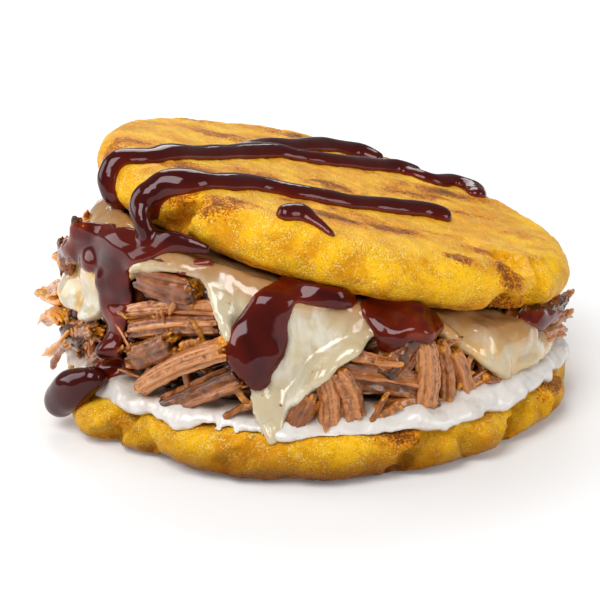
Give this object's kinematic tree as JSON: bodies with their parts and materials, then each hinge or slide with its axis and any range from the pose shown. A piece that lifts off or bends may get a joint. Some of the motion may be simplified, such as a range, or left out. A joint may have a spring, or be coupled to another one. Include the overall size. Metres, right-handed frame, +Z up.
{
  "type": "filled corn cake",
  "caption": "Round griddled corn cake split in two, held open by cream, shredded pork and melted cheese, with dark glaze poured over the tilted upper half.",
  "frame": {"origin": "centre of the flat underside of the lower cake, on the surface it rests on", "axes": "+Z up, -Y towards the open front where the filling shows, +X to the right, the side the upper cake slopes down to"},
  "size_m": [0.1069, 0.1128, 0.0536],
  "materials": {
    "corn": "griddled corn dough, grainy and slightly oily, with toasted patches",
    "cream": "thick white cream, soft gloss",
    "pork": "moist shredded roast pork with browned edges",
    "cheese": "melted pale cheese, smooth and shiny",
    "glaze": "dark brown syrupy glaze, wet and mirror bright"
  },
  "bodies": {
    "root": {"bottom_cake": "corn", "cream": "cream", "pulled_pork": "pork", "melted_cheese": "cheese", "top_cake": "corn", "glaze_back_ribbon": "glaze", "glaze_top_drop": "glaze", "glaze_front_run": "glaze", "glaze_centre_tongue": "glaze", "glaze_right_tongue": "glaze", "glaze_right_end": "glaze"}
  },
  "joints": []
}
